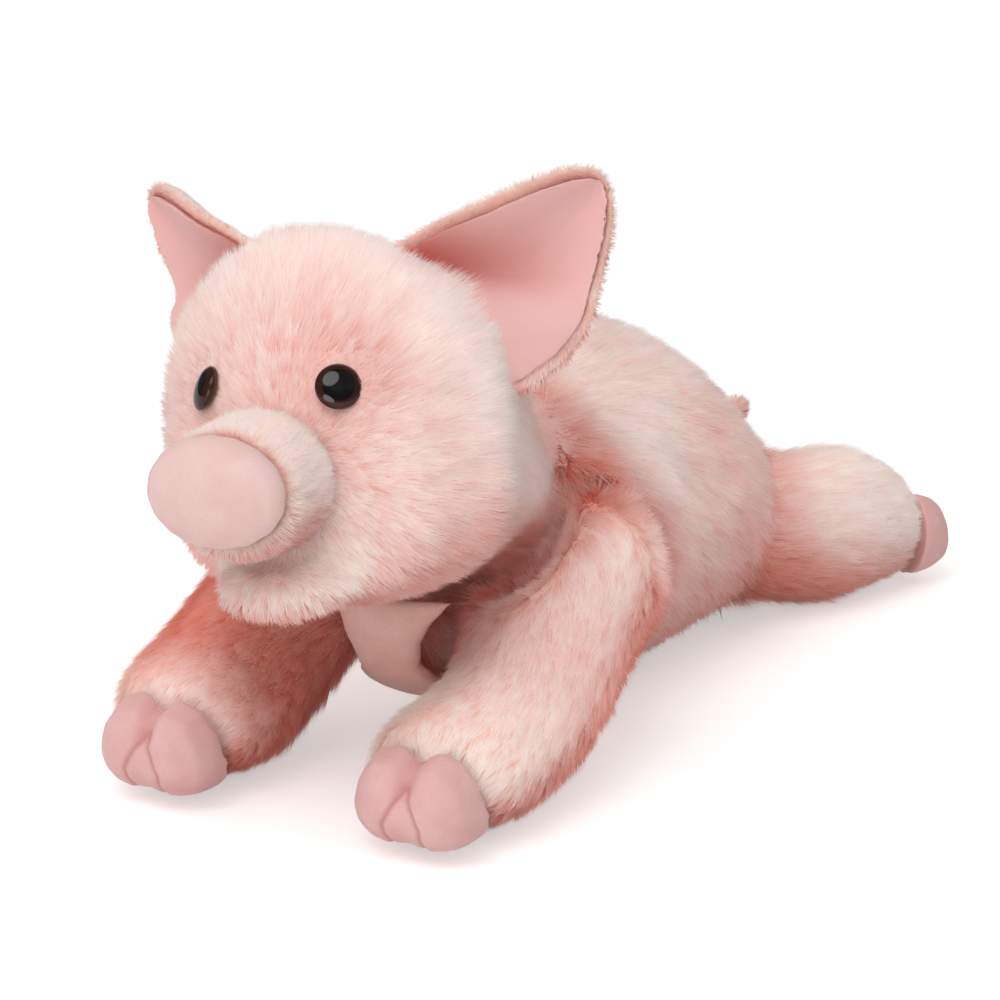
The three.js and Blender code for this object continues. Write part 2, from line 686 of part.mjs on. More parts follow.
// The head's cover, open at the neck, and the stuffing that fills it
function buildHead() {
  const mouthRadius = NECK_RADIUS - COVER;
  const mouth = new THREE.CylinderGeometry(mouthRadius, mouthRadius, NECK_RADIUS, LARGE.sides);
  let cover = headOuter.subtract(stuffedForm(headForm, LARGE_INSIDE, -COVER));
  cover = cover.subtract(solidOf(mouth.translate(0, NECK_RADIUS, 0)));
  let filling = stuffedForm(headForm, LARGE_INSIDE, -COVER - GAP);
  for (const side of ['left', 'right']) {
    const { hole, pocket } = buildEye(side);
    cover = cover.subtract(hole).subtract(pocket);
    filling = filling.subtract(hole).subtract(pocket);
    buildEar(side);
  }
  headGroup.add(piece('head_plush', cover, plush));
  headGroup.add(piece('head_stuffing', filling, fibre));
  buildFace();
}
buildHead();

// Tail, a curl of plush on a round root, with a round tip. It is modelled on its
// own pivot.

class TailCurve extends THREE.Curve {
  getPoint(share, target = new THREE.Vector3()) {
    const turn = 2 * Math.PI * TAIL_TURNS * share;
    const radius = ((TAIL_CURL - TAIL_DIAMETER) / 2) * Math.min(1, share / TAIL_OPENING_SHARE);
    return target.set(
      radius * Math.sin(turn),
      TAIL_LENGTH * share,
      TAIL_LIFT * share + radius * (1 - Math.cos(turn)),
    );
  }
}

const tailGroup = new THREE.Group();
tailGroup.position.set(0, TAIL_BEHIND, TAIL_RISE);
tailGroup.updateMatrix();

// The tail, or the larger one that leaves room for it
function tailForm(grow) {
  const radius = TAIL_DIAMETER / 2 + grow;
  const line = new TailCurve();
  const section = new THREE.Shape().absarc(0, 0, radius, 0, 2 * Math.PI);
  const curl = new THREE.ExtrudeGeometry(section, {
    curveSegments: TAIL_SIDES, steps: TAIL_STEPS, extrudePath: line, bevelEnabled: false,
  });
  const ball = (size) => new THREE.SphereGeometry(size, TAIL_SIDES * 2, TAIL_SIDES);
  const tip = ball(radius).translate(...line.getPoint(1).toArray());
  return solidOf(curl).add(solidOf(ball(TAIL_ROOT_RADIUS + grow))).add(solidOf(tip));
}
tailGroup.add(piece('tail_plush', tailForm(0), plush));

// Torso. The legs, the head and the tail are let into it, with room to turn.

function buildTorso(group) {
  const form = formOf(torsoShares, {
    length: TORSO_LENGTH, width: TORSO_WIDTH, height: TORSO_HEIGHT, start: -TORSO_FRONT, base: -REST_DIP,
  });
  const inside = stuffedForm(form, LARGE_INSIDE, -COVER).trimByPlane([0, 0, 1], COVER);
  let cover = pressedFlat(stuffedForm(form, LARGE)).subtract(inside);
  let filling = stuffedForm(form, LARGE_INSIDE, -COVER - GAP).trimByPlane([0, 0, 1], COVER + GAP);
  const withRooms = (solid, room) => {
    const tailRoom = sweptSpace(tailForm(room.clearance), tailGroup, [-TAIL_WAG, TAIL_WAG], room.turns);
    const rooms = [headRoom(room), tailRoom, ...legs.map((leg) => legRoom(leg, room))];
    return rooms.reduce((left, space) => left.subtract(space), solid);
  };
  cover = withRooms(cover, COVER_ROOM);
  filling = withRooms(filling, STUFFING_ROOM);

  const panelOf = (grow) => {
    const outline = new THREE.Shape().absellipse(
      0, 0, CHEST_PANEL_WIDTH / 2 + grow, CHEST_PANEL_LENGTH + grow, 0, 2 * Math.PI,
    );
    const block = new THREE.ExtrudeGeometry(outline, {
      depth: CHEST_PANEL_RISE + grow + OVERRUN, curveSegments: PANEL_SEGMENTS, bevelEnabled: false,
    });
    return solidOf(block.translate(0, -TORSO_FRONT, -OVERRUN));
  };
  group.add(piece('torso_plush', cover.subtract(panelOf(GAP)), plush));
  group.add(piece('chest_panel', cover.intersect(panelOf(0)), velour));
  group.add(piece('torso_stuffing', filling, fibre));
}

const pig = new THREE.Group();
buildTorso(pig);
pig.add(headGroup, tailGroup, ...legs.map((leg) => leg.group));

export default pig;
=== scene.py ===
"""A plush pig lying on its belly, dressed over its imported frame. Metres, +Z up, facing -Y."""

import json
import math

import bpy
import numpy as np
from mathutils import Matrix, Vector
from mathutils.bvhtree import BVHTree
from mathutils.kdtree import KDTree

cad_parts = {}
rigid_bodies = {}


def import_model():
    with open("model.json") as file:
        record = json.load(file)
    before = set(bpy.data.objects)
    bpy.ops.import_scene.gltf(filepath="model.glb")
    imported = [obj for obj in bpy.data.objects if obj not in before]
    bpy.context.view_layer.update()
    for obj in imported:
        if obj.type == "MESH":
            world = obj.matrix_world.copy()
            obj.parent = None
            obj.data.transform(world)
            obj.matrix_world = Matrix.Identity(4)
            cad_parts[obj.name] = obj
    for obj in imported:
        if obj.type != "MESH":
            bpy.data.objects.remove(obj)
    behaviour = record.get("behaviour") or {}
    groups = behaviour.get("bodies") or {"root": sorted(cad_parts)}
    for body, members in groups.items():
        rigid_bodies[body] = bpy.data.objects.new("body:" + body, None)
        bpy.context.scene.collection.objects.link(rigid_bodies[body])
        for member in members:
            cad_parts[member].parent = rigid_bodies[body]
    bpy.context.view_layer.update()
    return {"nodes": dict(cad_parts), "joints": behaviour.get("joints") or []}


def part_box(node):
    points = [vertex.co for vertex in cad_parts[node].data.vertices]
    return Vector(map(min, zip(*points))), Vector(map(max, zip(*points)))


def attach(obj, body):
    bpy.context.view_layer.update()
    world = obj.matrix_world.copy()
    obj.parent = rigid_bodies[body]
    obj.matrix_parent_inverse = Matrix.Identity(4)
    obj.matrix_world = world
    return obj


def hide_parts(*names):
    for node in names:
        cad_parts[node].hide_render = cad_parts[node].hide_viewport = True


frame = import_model()
MM = 0.001

# Camera. A long lens looks down a little on the toy's left front, at the
# photograph's angle, with the whole toy in a square frame.

AIM = Vector((-103.5, 147, 0)) * MM
CAMERA_AZIMUTH = 28.5  # degrees from the toy's front towards its left
CAMERA_ELEVATION = 18
CAMERA_DISTANCE = 1509 * MM
LENS = 138.7
SENSOR = 36


def toward(azimuth, elevation):
    """The way to a camera or a lamp at these angles, in degrees."""
    turn, rise = math.radians(azimuth), math.radians(elevation)
    return Vector((
        math.sin(turn) * math.cos(rise),
        -math.cos(turn) * math.cos(rise),
        math.sin(rise),
    ))


toward_camera = toward(CAMERA_AZIMUTH, CAMERA_ELEVATION)
camera_data = bpy.data.cameras.new("camera")
camera_data.lens = LENS
camera_data.sensor_width = SENSOR
camera = bpy.data.objects.new("camera", camera_data)
camera.location = AIM + toward_camera * CAMERA_DISTANCE
camera.rotation_euler = toward_camera.to_track_quat("Z", "Y").to_euler()
bpy.context.scene.collection.objects.link(camera)
bpy.context.scene.camera = camera
bpy.context.scene.view_settings.view_transform = "Standard"

# Studio. A white paper floor in a room lit softly from its ceiling and its four
# sides, with a broad lamp high in front of the toy and a fainter one low down.

FLOOR_HALF = 3
FLOOR_GLOW = 0.46  # for the camera alone, so that the paper shows white
LAMPS_AIM = Vector((0, 0, 0.06))
KEY_PLACE = (0.05, -1.2, 2.1)
KEY_SIZE = 1.5
KEY_POWER = 14.5
FILL_PLACE = (0.2, -2, 0.2)
FILL_SIZE = 1.2
FILL_POWER = 10
ROOM_LIGHT = 0.1
ROOM_LAMPS = {  # azimuth and elevation in degrees, power and colour
    "ceiling_light": (0, 90, 0.68, "FFFFFF"),
    "front_light": (0, 25, 0.4, "FFFFFF"),
    "left_light": (90, 20, 0.3, "FFF6F2"),
    "right_light": (-90, 20, 0.45, "FFF6F2"),
    "back_light": (180, 20, 0.45, "FFF6F2"),
}
ROOM_LAMP_SPREAD = math.radians(110)


def linear(colour):
    """The linear colour that an sRGB hex value such as 'F6CFC4' stands for."""
    shares = [int(colour[i:i + 2], 16) / 255 for i in (0, 2, 4)]
    return [c / 12.92 if c <= 0.04045 else ((c + 0.055) / 1.055) ** 2.4 for c in shares] + [1]


def add_node(material, kind, links=None, **settings):
    """Adds a node. Links gives its linked inputs, settings its properties and other inputs."""
    node = material.node_tree.nodes.new(kind)
    for name, value in settings.items():
        if name in node.bl_rna.properties:
            setattr(node, name, value)
        else:
            node.inputs[name.replace("_", " ")].default_value = value
    for socket, source in (links or {}).items():
        material.node_tree.links.new(source, node.inputs[socket])
    return node


def new_material(name):
    """A material with an empty node tree."""
    material = bpy.data.materials.new(name)
    material.use_nodes = True
    material.node_tree.nodes.clear()
    return material


def add_lamp(name, place, size, power):
    """A round soft lamp that faces the toy."""
    lamp_data = bpy.data.lights.new(name, "AREA")
    lamp_data.shape = "DISK"
    lamp_data.size = size
    lamp_data.energy = power
    lamp = bpy.data.objects.new(name, lamp_data)
    lamp.location = place
    lamp.rotation_euler = (Vector(place) - LAMPS_AIM).to_track_quat("Z", "Y").to_euler()
    bpy.context.scene.collection.objects.link(lamp)


world = bpy.data.worlds.new("pale room")
bpy.context.scene.world = world
world.use_nodes = True
world.node_tree.nodes.clear()
seen = add_node(world, "ShaderNodeLightPath")
soft_light = add_node(
    world, "ShaderNodeBackground", Color=linear("FFFFFF"), Strength=ROOM_LIGHT,
)
white_wall = add_node(world, "ShaderNodeBackground", Color=linear("FFFFFF"), Strength=1)
room = add_node(world, "ShaderNodeMixShader", {
    0: seen.outputs["Is Camera Ray"], 1: soft_light.outputs[0], 2: white_wall.outputs[0],
})
add_node(world, "ShaderNodeOutputWorld", {"Surface": room.outputs[0]})

# The floor is coated paper: matt and even, so that only the toy's soft shadow shows on it.
paper = new_material("white paper")
seen = add_node(paper, "ShaderNodeLightPath")
glow = add_node(
    paper, "ShaderNodeMath", {0: seen.outputs["Is Camera Ray"]}, operation="MULTIPLY",
)
glow.inputs[1].default_value = FLOOR_GLOW
paper_shader = add_node(
    paper, "ShaderNodeBsdfPrincipled", {"Emission Strength": glow.outputs[0]},
    Base_Color=linear("F7F7F7"), Roughness=0.9, Emission_Color=linear("FFFFFF"),
)
add_node(paper, "ShaderNodeOutputMaterial", {"Surface": paper_shader.outputs[0]})

bpy.ops.object.select_all(action="DESELECT")
bpy.ops.mesh.primitive_plane_add(size=2 * FLOOR_HALF)
floor = bpy.context.object
floor.name = "floor"
floor.data.materials.append(paper)

add_lamp("key_lamp", KEY_PLACE, KEY_SIZE, KEY_POWER)
add_lamp("fill_lamp", FILL_PLACE, FILL_SIZE, FILL_POWER)
for name, (azimuth, elevation, power, colour) in ROOM_LAMPS.items():
    sun_data = bpy.data.lights.new(name, "SUN")
    sun_data.energy = power
    sun_data.color = linear(colour)[:3]
    sun_data.angle = ROOM_LAMP_SPREAD
    sun_data.cycles.use_multiple_importance_sampling = False
    sun = bpy.data.objects.new(name, sun_data)
    sun.rotation_euler = toward(azimuth, elevation).to_track_quat("Z", "Y").to_euler()
    bpy.context.scene.collection.objects.link(sun)

# Torso cover. Acrylic fur fabric on a knitted backing, cut in panels, sewn
# inside out and stuffed firm. The backing shows only where the pile parts.

PILE_DEPTH = 4.5 * MM  # from the backing to where the pile lies
BODY_CELL = 4 * MM
WELD = 0.01 * MM
LUMP_SIZE = 45 * MM
LUMP_HEIGHT = 3 * MM
KNIT_RIB = 1.2 * MM
KNIT_RELIEF = 0.3 * MM
MIX_A, MIX_B, MIXED = 6, 7, 2  # the colour sockets of a Mix node
SHOULDER_SWELLS = [((outward * 38, -64, 103), 24, (0, -14, 2)) for outward in (-1, 1)]

shapes = {}  # each sewn form's search tree and its box, for the pile of its neighbours


def keep_outer_shell(form):
    """Deletes the inner shells that a remesh leaves in a form."""
    top = max(form.data.vertices, key=lambda vertex: vertex.co.z).index
    bpy.ops.object.mode_set(mode="EDIT")
    bpy.ops.mesh.select_all(action="DESELECT")
    bpy.ops.object.mode_set(mode="OBJECT")
    form.data.vertices[top].select = True
    bpy.ops.object.mode_set(mode="EDIT")
    bpy.ops.mesh.select_linked()
    bpy.ops.mesh.select_all(action="INVERT")
    bpy.ops.mesh.delete(type="VERT")
    bpy.ops.object.mode_set(mode="OBJECT")


def finish_modifier(form, kind, **settings):
    """Adds a modifier to the active form and applies it."""
    modifier = form.modifiers.new(kind.lower(), kind)
    for name, value in settings.items():
        setattr(modifier, name, value)
    bpy.ops.object.modifier_apply(modifier=modifier.name)


def corners_of(form):
    """The places of a form's vertices."""
    places = np.empty(len(form.data.vertices) * 3, np.float32)
    form.data.vertices.foreach_get("co", places)
    return places.reshape(-1, 3).astype(float)


def move_corners(form, places):
    """Puts a form's vertices at these places."""
    form.data.vertices.foreach_set("co", places.astype(np.float32).ravel())
    form.data.update()


def remember(form):
    """Keeps a form's search tree and box."""
    places = corners_of(form)
    faces = [list(face.vertices) for face in form.data.polygons]
    tree = BVHTree.FromPolygons(places.tolist(), faces)
    shapes[form.name] = (tree, places.min(axis=0), places.max(axis=0))


def swell(form, place, radius, move):
    """Moves a form near a place, as the stuffing pushes it. Figures are in millimetres."""
    places = corners_of(form)
    share = np.exp(-(np.linalg.norm(places / MM - place, axis=1) / radius) ** 2)
    move_corners(form, places + share[:, None] * np.array(move) * MM)
    remember(form)


def sewn_form(name, nodes, cell, smoothing):
    """The one closed, rounded form that CAD nodes fill together."""
    bpy.ops.object.select_all(action="DESELECT")
    for node in nodes:
        copy = bpy.data.objects.new(name, frame["nodes"][node].data.copy())
        bpy.context.scene.collection.objects.link(copy)
        copy.select_set(True)
        bpy.context.view_layer.objects.active = copy
    bpy.ops.object.join()
    form = bpy.context.view_layer.objects.active
    form.name = name
    form.data.name = name
    form.data.materials.clear()
    bpy.ops.object.mode_set(mode="EDIT")
    bpy.ops.mesh.select_all(action="SELECT")
    bpy.ops.mesh.remove_doubles(threshold=WELD)
    bpy.ops.object.mode_set(mode="OBJECT")
    finish_modifier(form, "REMESH", mode="VOXEL", voxel_size=cell)
    keep_outer_shell(form)
    finish_modifier(form, "SMOOTH", factor=0.5, iterations=smoothing)
    bpy.ops.object.shade_smooth()
    remember(form)
    return form


def draw_in(form, depth, lumps=0):
    """Moves a form's surface in by a depth, with the slow lumps of hand-packed stuffing."""
    bpy.context.view_layer.objects.active = form
    finish_modifier(form, "DISPLACE", mid_level=0, strength=-depth)
    if lumps:
        clouds = bpy.data.textures.new(f"{form.name}_lumps", "CLOUDS")
        clouds.noise_scale = LUMP_SIZE
        clouds.noise_depth = 1
        finish_modifier(
            form, "DISPLACE", texture=clouds, texture_coords="LOCAL", mid_level=0.5, strength=lumps,
        )


def make_backing():
    """Polyester knit dyed peach: matt, with fine ribs that show only close up."""
    material = new_material("dyed knitted backing")
    place = add_node(material, "ShaderNodeTexCoord")
    at = {"Vector": place.outputs["Object"]}
    ribs = add_node(material, "ShaderNodeTexNoise", at, Scale=1 / KNIT_RIB)
    dye = add_node(material, "ShaderNodeTexNoise", at, Scale=1 / LUMP_SIZE)
    colour = add_node(
        material, "ShaderNodeMix", {"Factor": dye.outputs["Fac"]}, data_type="RGBA",
    )
    colour.inputs[MIX_A].default_value = linear("EDB4A3")
    colour.inputs[MIX_B].default_value = linear("F3CDBE")
    relief = add_node(
        material, "ShaderNodeBump", {"Height": ribs.outputs["Fac"]},
        Strength=0.4, Distance=KNIT_RELIEF,
    )
    shader = add_node(
        material, "ShaderNodeBsdfPrincipled",
        {"Base Color": colour.outputs[MIXED], "Normal": relief.outputs["Normal"]},
        Roughness=0.95, Sheen_Weight=0.2,
    )
    add_node(material, "ShaderNodeOutputMaterial", {"Surface": shader.outputs[0]})
    return material


backing = make_backing()


def fur_cover(
    name, nodes, body, cell=BODY_CELL, depth=PILE_DEPTH, lumps=LUMP_HEIGHT,
    smoothing=8, swells=(),
):
    """A stuffed cover of fur fabric, over the nodes that it stands for."""
    cover = sewn_form(name, nodes, cell, smoothing)
    for place, radius, move in swells:
        swell(cover, place, radius, move)
    draw_in(cover, depth, lumps)
    cover.data.materials.append(backing)
    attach(cover, body)
    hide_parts(*nodes)
    return cover


torso = fur_cover(
    "torso_cover", ["torso_plush", "torso_stuffing"], "torso",
    smoothing=22, swells=SHOULDER_SWELLS,
)

# Head cover. The same fur fabric, stuffed very full, with the chin sewn in
# below the mouth.

HEAD_SWELLS = [
    *(((outward * 30, -123, 161), 20, (outward * 6, 0, 5)) for outward in (-1, 1)),  # by the ears
    *(((outward * 44, -130, 146), 24, (outward * 4, 0, 2)) for outward in (-1, 1)),  # by the brow
]

head = fur_cover(
    "head_cover", ["head_plush", "head_stuffing", "chin_plush"], "head",
    lumps=LUMP_HEIGHT / 2, swells=HEAD_SWELLS,
)

# Muzzle. A ring of short clipped fur round the snout, sewn to the front of
# the head along the crease behind it.

MUZZLE_CELL = 1.8 * MM
MUZZLE_PILE_DEPTH = 1.6 * MM

muzzle = fur_cover(
    "muzzle_cover", ["muzzle_plush"], "head",
    cell=MUZZLE_CELL, depth=MUZZLE_PILE_DEPTH, lumps=0,
)

# Legs. Each is a tube of the fur fabric with a round root, stuffed full and
# sewn to the torso through the mouth on its inner side.

LEGS = [f"{end}_{side}" for end in ("front", "rear") for side in ("left", "right")]
LEG_SWELLS = {  # the forelegs are slimmer beside the chest
    "front_left": [((20, -128, 50), 30, (12, 0, 0))],
    "front_right": [((-20, -128, 50), 30, (-12, 0, 0))],
}

leg_covers = {}
for leg in LEGS:
    leg_covers[leg] = fur_cover(
        f"{leg}_leg_cover", [f"{leg}_leg_plush", f"{leg}_leg_stuffing"], f"{leg}_leg",
        swells=LEG_SWELLS.get(leg, ()),
    )

# Tail. A thin tube of fur fabric, gathered along one side so that it curls,
# and caught in the seam at the rump.

TAIL_CELL = 1.2 * MM
TAIL_PILE_DEPTH = 1.8 * MM

tail = fur_cover(
    "tail_cover", ["tail_plush"], "tail", cell=TAIL_CELL, depth=TAIL_PILE_DEPTH, lumps=0,
)

# Chest. A panel of rose velour under the chin, sewn in between the forelegs.
# The stuffing swells it below the jaw, and its sides bend back under the fur.

CHEST_CELL = 2 * MM
CHEST_WIDER = 1.35  # so that its edges are under the fur of the forelegs
CHEST_BEND = 3.5  # back, by this times the square of a point's metres from the middle
CHEST_SWELL = ((0, -118, 45), 26, (0, -8, 0))
NAP = 0.45 * MM  # coarser than real velour nap, which is too fine to show
NAP_RELIEF = 0.25 * MM
BRUSHED_PATCH = 14 * MM


def finish_velour(material, nap, colour):
    """Gives a velour's colour the relief of its nap and its dull sheen."""
    relief = add_node(
        material, "ShaderNodeBump", {"Height": nap.outputs["Fac"]},
        Strength=0.35, Distance=NAP_RELIEF,
    )
    shader = add_node(
        material, "ShaderNodeBsdfPrincipled",
        {"Base Color": colour.outputs[MIXED], "Normal": relief.outputs["Normal"]},
        Roughness=0.85, Sheen_Weight=0.35, Sheen_Roughness=0.4, Specular_IOR_Level=0.25,
    )
    add_node(material, "ShaderNodeOutputMaterial", {"Surface": shader.outputs[0]})


def make_velour(name, colour, shade, seam_colour):
    """Polyester velour: a dense short nap, paler at grazing angles, with the
    marks of brushing, and darker where it is sewn."""
    material = new_material(name)
    place = add_node(material, "ShaderNodeTexCoord")
    at = {"Vector": place.outputs["Object"]}
    nap = add_node(material, "ShaderNodeTexNoise", at, Scale=1 / NAP, Detail=3)
    brushed = add_node(
        material, "ShaderNodeTexNoise", at, Scale=1 / BRUSHED_PATCH, Distortion=0.6,
    )
    both = add_node(
        material, "ShaderNodeMath", {0: nap.outputs["Fac"], 1: brushed.outputs["Fac"]},
        operation="MULTIPLY",
    )
    share = add_node(
        material, "ShaderNodeMapRange", {"Value": both.outputs[0]}, From_Min=0.12, From_Max=0.4,
    )
    tone = add_node(
        material, "ShaderNodeMix", {"Factor": share.outputs["Result"]}, data_type="RGBA",
    )
    tone.inputs[MIX_A].default_value = linear(shade)
    tone.inputs[MIX_B].default_value = linear(colour)
    seam = add_node(material, "ShaderNodeAttribute", attribute_name="seam")
    stitched = add_node(
        material, "ShaderNodeMix", {"Factor": seam.outputs["Fac"], MIX_A: tone.outputs[MIXED]},
        data_type="RGBA",
    )
    stitched.inputs[MIX_B].default_value = linear(seam_colour)
    finish_velour(material, nap, stitched)
    return material


def velour_piece(name, nodes, body, cell, material, smoothing):
    """A stuffed piece of velour, over the nodes that it stands for."""
    form = sewn_form(name, nodes, cell, smoothing)
    form.data.materials.append(material)
    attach(form, body)
    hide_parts(*nodes)
    return form


chest_velour = make_velour("rose chest velour", "F6CFC4", "EDB9AC", "C47A6C")
chest = velour_piece(
    "chest_bib", ["chest_panel"], "torso", CHEST_CELL, chest_velour, smoothing=10,
)
places = corners_of(chest) * [CHEST_WIDER, 1, 1]
places[:, 1] += CHEST_BEND * places[:, 0] ** 2
move_corners(chest, places)
swell(chest, *CHEST_SWELL)

# Snout. An oval pad of pale pink velour with no nostrils, stuffed round and
# sewn to the muzzle along a turned-in edge.

PAD_CELL = 0.9 * MM

snout_velour = make_velour("pale snout velour", "F8D6D1", "F0C7C2", "D59C95")
velour_piece("snout", ["snout_pad"], "head", PAD_CELL, snout_velour, smoothing=14)
snout_low, snout_high = (np.array(corner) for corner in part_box("snout_pad"))
snout_centre = (snout_low + snout_high) / 2

# Eyes. Safety eyes with a black pupil in a dark brown iris, moulded under one
# glossy dome. Their shanks go through the cover and are locked by washers inside,
# which pull each eye in to the depth of the pile.

EYE_RADIUS = 7 * MM
EYE_CROWN = 4 * MM
EYE_SUNK = 4 * MM  # behind the line of the pile
EYE_DOME = 2.8 * MM
PUPIL_SHARE = 0.7  # of the eye's radius
EYE_SEGMENTS = 64
EYE_RINGS = 40
MARKS_PER_METRE = 900  # from handling, about a millimetre apart


def make_eye_plastic(name, colour):
    """Moulded acrylic: a hard gloss over one dark colour, with fine marks from handling."""
    material = new_material(name)
    place = add_node(material, "ShaderNodeTexCoord")
    marks = add_node(
        material, "ShaderNodeTexNoise", {"Vector": place.outputs["Object"]},
        Scale=MARKS_PER_METRE,
    )
    wear = add_node(
        material, "ShaderNodeMapRange", {"Value": marks.outputs["Fac"]}, To_Min=0.04, To_Max=0.09,
    )
    shader = add_node(
        material, "ShaderNodeBsdfPrincipled", {"Roughness": wear.outputs["Result"]},
        Base_Color=linear(colour),
    )
    add_node(material, "ShaderNodeOutputMaterial", {"Surface": shader.outputs[0]})
    return material


pupil_plastic = make_eye_plastic("black eye plastic", "0B0909")
iris_plastic = make_eye_plastic("dark brown eye plastic", "38180E")
eye_centres = []
for side in ("left", "right"):
    node, washer = f"eye_{side}", f"eye_washer_{side}"
    washer_middle = Vector(corners_of(frame["nodes"][washer]).mean(axis=0))
    dome_corners = (vertex.co for vertex in frame["nodes"][node].data.vertices)
    apex = max(dome_corners, key=lambda corner: (corner - washer_middle).length)
    sight = (apex - washer_middle).normalized()
    centre = apex - (EYE_CROWN + EYE_SUNK) * sight
    eye_centres.append(np.array(centre))
    bpy.ops.object.select_all(action="DESELECT")
    bpy.ops.mesh.primitive_uv_sphere_add(
        segments=EYE_SEGMENTS, ring_count=EYE_RINGS, radius=EYE_RADIUS,
    )
    eye = bpy.context.object
    eye.name = f"safety_eye_{side}"
    eye.data.name = eye.name
    eye.data.materials.append(pupil_plastic)
    eye.data.materials.append(iris_plastic)
    for face in eye.data.polygons:
        ring = math.hypot(face.center.x, face.center.y) / EYE_RADIUS
        face.material_index = int(ring > PUPIL_SHARE or face.center.z < 0)
    eye.data.transform(Matrix.Diagonal((1, 1, EYE_DOME / EYE_RADIUS, 1)))
    turn = sight.to_track_quat("Z", "Y").to_matrix().to_4x4()
    eye.data.transform(Matrix.Translation(centre) @ turn)
    bpy.ops.object.shade_smooth()
    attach(eye, "head")
    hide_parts(node, washer)

# Ears. A back of short fur with a velour lining inside its rim, sewn to the
# head while folded, so that each ear cups forward about a deep crease.

EAR_CELL = 1 * MM
EAR_FULLER = 0.36 * MM  # how much the back is fuller than its solid
LINING_CELL = 0.65 * MM
LINING_BACK = 2 * MM  # how far the lining's rear goes back, so that no gap shows there
EAR_BASE = 53 * MM
# The crease's two ends, in shares of the base: along the seam, and out from its upper end.
CREASE_ENDS_SHARE = np.array([[0.1, -0.06], [0.8, 0.55]])
CREASE_DEPTH = 10 * MM
CREASE_ABOVE = 14 * MM  # how far it slopes above the crease, and below it
CREASE_BELOW = 5 * MM
BELLY_HEIGHT = 2.5 * MM
BELLY_BELOW = 13 * MM  # how far it is below the crease
BELLY_WIDTH = 8 * MM


def normals_of(form):
    """The smooth normals of a form's vertices."""
    normals = np.empty(len(form.data.vertices) * 3, np.float32)
    form.data.vertex_normals.foreach_get("vector", normals)
    return normals.reshape(-1, 3).astype(float)


def joint_of(body):
    """The joint that moves a body."""
    return next(joint for joint in frame["joints"] if joint["child"] == body)


def ear_directions(side):
    """An ear's place, its base seam's direction, the way it points and the way it faces."""
    joint = joint_of(f"ear_{side}")
    pivot = np.array(joint["pos_m"])
    seam = np.array(joint["axis"])
    seam *= -np.sign(seam[2])
    points = corners_of(frame["nodes"][f"ear_{side}_lining"]) - pivot
    out = points.mean(axis=0)
    out -= (out @ seam) * seam
    out /= np.linalg.norm(out)
    faces = np.cross(seam, out)
    faces *= -np.sign(faces[1])
    return pivot, seam, out, faces


def crease_of(points, side):
    """How far each point is above the line of an ear's crease, how far along it, as a
    share, and how near to it, from 0 to 1."""
    pivot, seam, out, _ = ear_directions(side)
    flat = np.stack([(points - pivot) @ seam, (points - pivot) @ out], axis=1)
    start, end = CREASE_ENDS_SHARE * EAR_BASE
    way = (end - start) / np.linalg.norm(end - start)
    along = (flat - start) @ way / np.linalg.norm(end - start)
    above = (flat - start) @ np.array([-way[1], way[0]])
    slope = np.where(above > 0, CREASE_ABOVE, CREASE_BELOW)
    return above, along, np.exp(-(above / slope) ** 2)


def crease_ear(form, side):
    """Folds an ear's sheet along its crease, with a belly below it."""
    points = corners_of(form)
    above, along, near = crease_of(points, side)
    depth = CREASE_DEPTH * near * np.clip(1.25 - along, 0.3, 1)
    belly = BELLY_HEIGHT * np.exp(-((above + BELLY_BELOW) / BELLY_WIDTH) ** 2)
    faces = ear_directions(side)[3]
    move_corners(form, points + (belly - depth)[:, None] * faces)


def make_lining():
    """Ear velour: the same short nap in pink, and a deeper rose down in the crease, partly the
    velour's own and partly painted shade, where the lining's own attribute says."""
    material = new_material("ear lining velour")
    place = add_node(material, "ShaderNodeTexCoord")
    nap = add_node(
        material, "ShaderNodeTexNoise", {"Vector": place.outputs["Object"]},
        Scale=1 / NAP, Detail=3,
    )
    # painted shade: the crease darkens to a deeper rose, partly the velour's own colour
    crease_shade = add_node(material, "ShaderNodeAttribute", attribute_name="crease_shade")
    tone = add_node(
        material, "ShaderNodeMix", {"Factor": crease_shade.outputs["Fac"]}, data_type="RGBA",
    )
    tone.inputs[MIX_A].default_value = linear("F5C4BF")
    tone.inputs[MIX_B].default_value = linear("C55A50")
    finish_velour(material, nap, tone)
    return material


lining_velour = make_lining()
ear_covers = {}
for side in ("left", "right"):
    cover = sewn_form(f"ear_{side}_cover", [f"ear_{side}_plush"], EAR_CELL, smoothing=10)
    draw_in(cover, -EAR_FULLER)
    crease_ear(cover, side)
    remember(cover)
    cover.data.materials.append(backing)
    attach(cover, f"ear_{side}")
    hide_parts(f"ear_{side}_plush")
    ear_covers[side] = cover

    inner = sewn_form(f"ear_{side}_face", [f"ear_{side}_lining"], LINING_CELL, smoothing=24)
    faces = ear_directions(side)[3]
    backward = np.clip(-normals_of(inner) @ faces, 0, 1)
    move_corners(inner, corners_of(inner) - LINING_BACK * backward[:, None] * faces)
    _, along, near = crease_of(corners_of(inner), side)
    # painted shade: how deep in the crease each point lies, kept on the lining for its colour
    crease_shade = near * np.clip(1.1 - along, 0, 1)
    layer = inner.data.attributes.new("crease_shade", "FLOAT", "POINT")
    layer.data.foreach_set("value", np.clip(crease_shade, 0, 1).astype(np.float32))
    crease_ear(inner, side)
    remember(inner)
    inner.data.materials.append(lining_velour)
    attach(inner, f"ear_{side}")
    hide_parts(f"ear_{side}_lining")

# Hooves. Cloven pads of pink velour, two toes joined by a narrow leaf of the
# same cloth, so that two seams part below the cleft. Sewn on to the leg's end.

HOOF_CELL = 1 * MM
CLEFT_DEPTH = 2.2 * MM
CLEFT_WIDTH = 3 * MM
SEAM_DEPTH = 0.8 * MM
SEAM_WIDTH = 1.1 * MM
UP = np.array([0, 0, 1.0])
